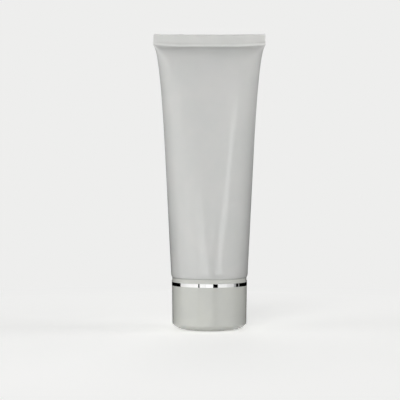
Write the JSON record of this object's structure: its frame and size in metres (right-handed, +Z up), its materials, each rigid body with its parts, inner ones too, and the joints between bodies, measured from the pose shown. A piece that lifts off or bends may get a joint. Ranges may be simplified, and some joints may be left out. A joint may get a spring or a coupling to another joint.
{
  "type": "squeeze tube",
  "caption": "Stand-up squeeze tube: flattened sealed sleeve on a round shoulder, with a wide ringed screw cap that unscrews from its threaded neck.",
  "frame": {"origin": "centre of the cap's flat end face, on which the tube stands", "axes": "+Z up along the tube to its sealed tail, X along the tail's width, -Y faces the camera of the picture"},
  "size_m": [0.0596, 0.0406, 0.1557],
  "materials": {
    "sleeve_plastic": "satin white soft plastic",
    "head_plastic": "plain moulded white plastic",
    "cap_plastic": "satin to glossy warm white plastic",
    "bright_ring": "mirror bright silver",
    "liner_foam": "soft foamed sheet"
  },
  "bodies": {
    "cap": {"cap_shell": "cap_plastic", "cap_insert": "cap_plastic", "trim_ring": "bright_ring"},
    "liner": {"cap_liner": "liner_foam"},
    "tube": {"tube_sleeve": "sleeve_plastic", "tube_head": "head_plastic"}
  },
  "joints": [
    {"name": "tube_turn", "type": "hinge", "parent": "cap", "child": "liner", "pos_m": [0, 0, 0], "axis": [0, 0, 1], "range_deg": [0, 1800]},
    {"name": "tube_lift", "type": "slide", "parent": "liner", "child": "tube", "axis": [0, 0, 1], "range_m": [0, 0.015]}
  ],
  "couplings": [
    {"joint": "tube_lift", "follows": "tube_turn", "m_per_rad": 0.00047746}
  ]
}
